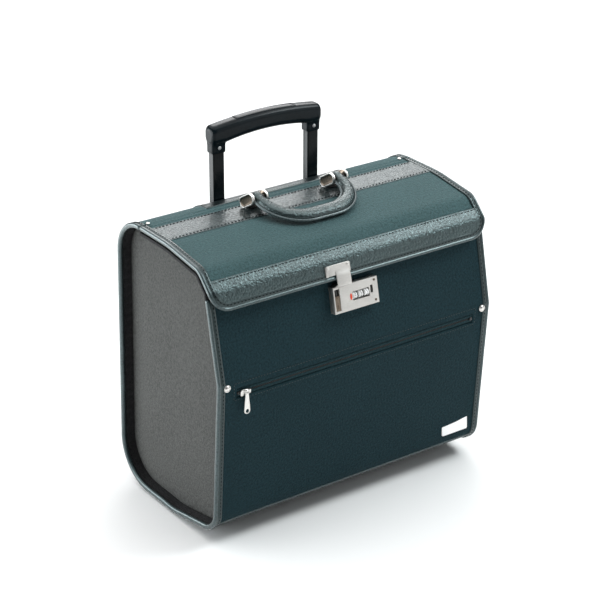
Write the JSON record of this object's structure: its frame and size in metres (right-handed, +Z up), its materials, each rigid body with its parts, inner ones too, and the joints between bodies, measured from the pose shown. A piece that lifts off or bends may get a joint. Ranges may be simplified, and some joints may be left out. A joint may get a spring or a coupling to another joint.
{
  "type": "pilot rolling flight case",
  "caption": "Rigid fabric and leather pilot case with a hinged lid, combination lock, swinging carry handle, zipped front pocket and a telescopic trolley on rear wheels.",
  "frame": {"origin": "on the floor, under the middle of the case's overall box", "axes": "+X across the case to the right seen from the front, +Y to the back, +Z up"},
  "size_m": [0.45, 0.2661, 0.5128],
  "materials": {
    "case_fabric": "close woven nylon, matt with a slight sheen",
    "side_fabric": "woven grey fabric, matt",
    "leather": "grained black leather, semi-gloss",
    "handle_leather": "pebbled black leather, semi-gloss",
    "lining": "plain black lining",
    "nickel": "satin nickel plate",
    "dark_metal": "black enamel",
    "zip_black": "black zip tape and coil",
    "black_plastic": "moulded, matt",
    "grip_plastic": "moulded, glossy",
    "tube_black": "black anodised, glossy",
    "steel": "turned steel",
    "tyre": "solid polyurethane",
    "dial_white": "white moulded",
    "index_red": "orange-red paint"
  },
  "bodies": {
    "case": {"rear_panel": "case_fabric", "bottom_panel": "case_fabric", "top_rear_panel": "case_fabric", "front_panel": "case_fabric", "upper_front_panel": "case_fabric", "pocket_panel": "case_fabric", "pocket_top_panel": "case_fabric", "side_panel_left": "side_fabric", "side_panel_right": "side_fabric", "rim_binding_left": "leather", "rim_binding_right": "leather", "mouth_rails": "leather", "rear_lining": "lining", "file_divider": "lining", "lid_hinge_tape": "lining", "name_plate": "nickel", "rim_rivets": "nickel", "front_feet": "black_plastic", "zip_tapes": "zip_black", "zip_chain": "zip_black", "zip_end_stops": "zip_black", "wheel_housings": "black_plastic", "wheel_axles": "steel", "trolley_outer_tubes": "tube_black", "trolley_base": "black_plastic", "tube_collars": "black_plastic", "trolley_patch": "leather", "trolley_rivets": "nickel", "lock_body": "nickel", "dial_axle": "steel", "lock_index": "index_red", "lock_screws": "nickel", "lock_backplate": "nickel"},
    "lid": {"lid_panel": "case_fabric", "lid_bindings": "leather", "lid_front_band": "leather", "centre_band": "leather", "lid_edge_piping": "leather", "hasp_plate": "nickel", "hasp_rivets": "nickel", "handle_lugs": "dark_metal"},
    "handle_links": {"handle_cheeks": "nickel", "handle_pins": "nickel"},
    "carry_handle": {"handle_grip": "handle_leather"},
    "trolley_middle": {"trolley_middle_tubes": "tube_black"},
    "trolley_upper": {"trolley_upper_tubes": "tube_black", "trolley_grip": "grip_plastic", "grip_screws": "nickel"},
    "trolley_button": {"grip_button": "grip_plastic", "release_linkage": "black_plastic"},
    "zip_slider": {"zip_slider": "nickel"},
    "zip_puller": {"zip_puller": "nickel"},
    "dial_1": {"dial_1": "dial_white"},
    "dial_2": {"dial_2": "dial_white"},
    "dial_3": {"dial_3": "dial_white"},
    "lock_slide": {"lock_slide": "dark_metal"},
    "wheel_left": {"wheel_hub_left": "black_plastic", "wheel_tyre_left": "tyre"},
    "wheel_right": {"wheel_hub_right": "black_plastic", "wheel_tyre_right": "tyre"}
  },
  "joints": [
    {"name": "lid_hinge", "type": "hinge", "parent": "case", "child": "lid", "pos_m": [0, 0.058, 0.4064], "axis": [1, 0, 0], "range_deg": [-75, 0]},
    {"name": "trolley_middle_slide", "type": "slide", "parent": "case", "child": "trolley_middle", "axis": [0, 0, 1], "range_m": [0, 0.24]},
    {"name": "trolley_upper_slide", "type": "slide", "parent": "trolley_middle", "child": "trolley_upper", "axis": [0, 0, 1], "range_m": [-0.066, 0.165]},
    {"name": "grip_button_press", "type": "slide", "parent": "trolley_upper", "child": "trolley_button", "axis": [0, 0, -1], "range_m": [0, 0.003], "stiffness_N_per_m": 800, "springref_m": -0.004},
    {"name": "link_swing", "type": "hinge", "parent": "lid", "child": "handle_links", "pos_m": [0, 0.033, 0.4152], "axis": [-1, 0, 0], "range_deg": [0, 60]},
    {"name": "handle_swing", "type": "hinge", "parent": "handle_links", "child": "carry_handle", "pos_m": [0, 0.01629, 0.42524], "axis": [-1, 0, 0], "range_deg": [0, 45]},
    {"name": "dial_1_spin", "type": "hinge", "parent": "case", "child": "dial_1", "pos_m": [-0.0055, -0.11857, 0.31735], "axis": [1, 0, 0], "continuous": true},
    {"name": "dial_2_spin", "type": "hinge", "parent": "case", "child": "dial_2", "pos_m": [0.004, -0.11857, 0.31735], "axis": [1, 0, 0], "continuous": true},
    {"name": "dial_3_spin", "type": "hinge", "parent": "case", "child": "dial_3", "pos_m": [0.0135, -0.11857, 0.31735], "axis": [1, 0, 0], "continuous": true},
    {"name": "lock_slide_press", "type": "slide", "parent": "case", "child": "lock_slide", "axis": [0, 0.211, 0.9775], "range_m": [0, 0.009], "stiffness_N_per_m": 150, "springref_m": -0.003},
    {"name": "zip_slide", "type": "slide", "parent": "case", "child": "zip_slider", "axis": [1, 0, 0], "range_m": [0, 0.366]},
    {"name": "puller_swing", "type": "hinge", "parent": "zip_slider", "child": "zip_puller", "pos_m": [-0.184, -0.13184, 0.2335], "axis": [-1, 0, 0], "range_deg": [0, 120]},
    {"name": "wheel_left_spin", "type": "hinge", "parent": "case", "child": "wheel_left", "pos_m": [-0.18, 0.1079, 0.025], "axis": [1, 0, 0], "continuous": true},
    {"name": "wheel_right_spin", "type": "hinge", "parent": "case", "child": "wheel_right", "pos_m": [0.18, 0.1079, 0.025], "axis": [1, 0, 0], "continuous": true}
  ]
}
